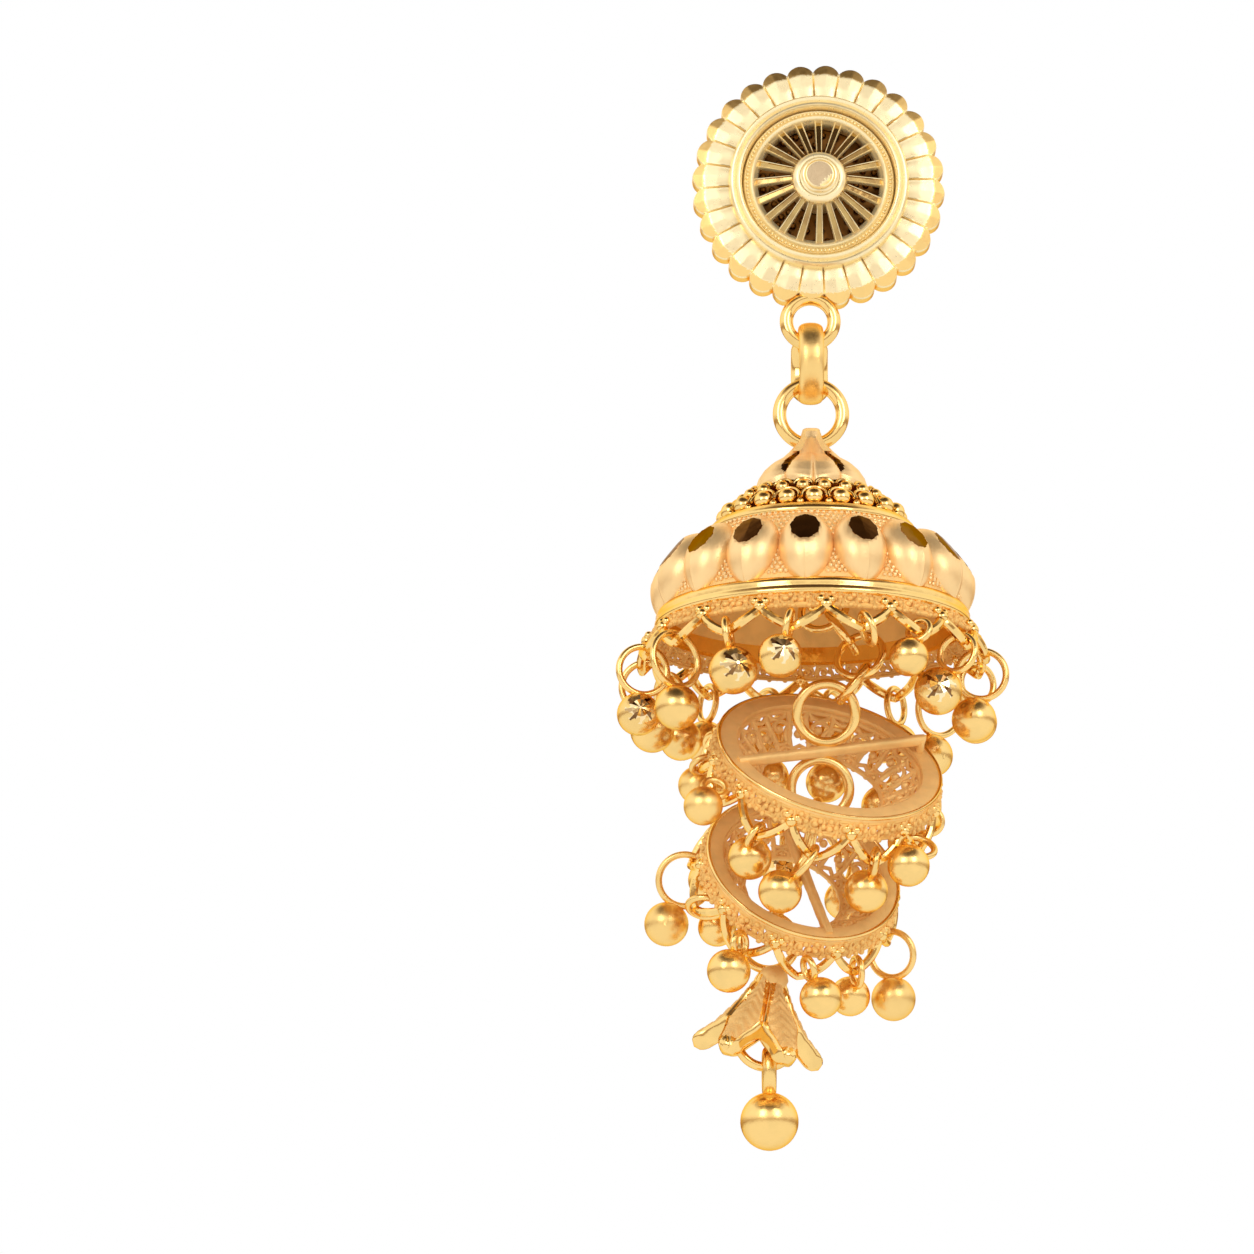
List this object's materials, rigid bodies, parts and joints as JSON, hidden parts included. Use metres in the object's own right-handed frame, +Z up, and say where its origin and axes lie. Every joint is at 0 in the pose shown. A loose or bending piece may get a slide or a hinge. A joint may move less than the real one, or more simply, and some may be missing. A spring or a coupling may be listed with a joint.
{
  "type": "jhumka earring",
  "caption": "Gold jhumka earring: a round spoked stud, a linked bell with a fringe of balls, two leaning fringed ring tiers, a petal cap and an end ball.",
  "frame": {"origin": "on the ear post's axis, at the middle of the ear lobe's thickness", "axes": "+Z up, -Y to the earring's front, +Y along the post to its tail, +X to the viewer's right"},
  "size_m": [0.0264, 0.0271, 0.0749],
  "materials": {
    "satin_gold": "satin",
    "wheel_gold": "polished",
    "button_gold": "polished",
    "post_gold": "polished",
    "bell_gold": "satin with polished rim",
    "tier_gold": "polished",
    "petal_gold": "satin with polished tips",
    "ball_gold": "polished",
    "wire_gold": "polished",
    "drop_gold": "polished"
  },
  "bodies": {
    "stud": {"stud_rosette": "satin_gold", "spoke_wheel": "wheel_gold", "centre_button": "button_gold", "ear_post": "post_gold"},
    "link": {"middle_link": "satin_gold"},
    "bell": {"bell_dome": "bell_gold", "connector_1": "wire_gold", "connector_2": "wire_gold", "connector_3": "wire_gold", "connector_4": "wire_gold", "tier_two": "tier_gold", "tier_three": "tier_gold", "bell_drop_01": "drop_gold", "bell_drop_02": "drop_gold", "bell_drop_03": "drop_gold", "bell_drop_04": "drop_gold", "bell_drop_05": "drop_gold", "bell_drop_06": "drop_gold", "bell_drop_07": "drop_gold", "bell_drop_08": "drop_gold", "bell_drop_09": "drop_gold", "bell_drop_10": "drop_gold", "bell_drop_11": "drop_gold", "bell_drop_12": "drop_gold", "bell_drop_13": "drop_gold", "bell_drop_14": "drop_gold", "bell_drop_15": "drop_gold", "bell_drop_16": "drop_gold", "tier_two_drop_01": "drop_gold", "tier_two_drop_02": "drop_gold", "tier_two_drop_03": "drop_gold", "tier_two_drop_04": "drop_gold", "tier_two_drop_05": "drop_gold", "tier_two_drop_06": "drop_gold", "tier_two_drop_07": "drop_gold", "tier_two_drop_08": "drop_gold", "tier_two_drop_09": "drop_gold", "tier_two_drop_10": "drop_gold", "tier_two_drop_11": "drop_gold", "tier_two_drop_12": "drop_gold", "tier_three_drop_01": "drop_gold", "tier_three_drop_02": "drop_gold", "tier_three_drop_03": "drop_gold", "tier_three_drop_04": "drop_gold", "tier_three_drop_05": "drop_gold", "tier_three_drop_06": "drop_gold", "tier_three_drop_07": "drop_gold", "tier_three_drop_08": "drop_gold", "tier_three_drop_09": "drop_gold", "tier_three_drop_10": "drop_gold"},
    "flower": {"flower_cap": "petal_gold"},
    "end_ball": {"end_ball": "ball_gold"}
  },
  "joints": [
    {"name": "link_swing", "type": "hinge", "parent": "stud", "child": "link", "pos_m": [-0.00065, -0.0035, -0.00975], "axis": [0, 1, 0], "range_deg": [-25, 25]},
    {"name": "bell_swing", "type": "hinge", "parent": "link", "child": "bell", "pos_m": [-0.00065, -0.0035, -0.01421], "axis": [1, 0, 0], "range_deg": [-30, 30]},
    {"name": "flower_swing", "type": "hinge", "parent": "bell", "child": "flower", "pos_m": [-0.0037, -0.00073, -0.05124], "axis": [0, 1, 0], "range_deg": [-10, 10]},
    {"name": "end_ball_swing", "type": "hinge", "parent": "flower", "child": "end_ball", "pos_m": [-0.00372, -0.00073, -0.06079], "axis": [1, 0, 0], "range_deg": [-35, 35]}
  ]
}
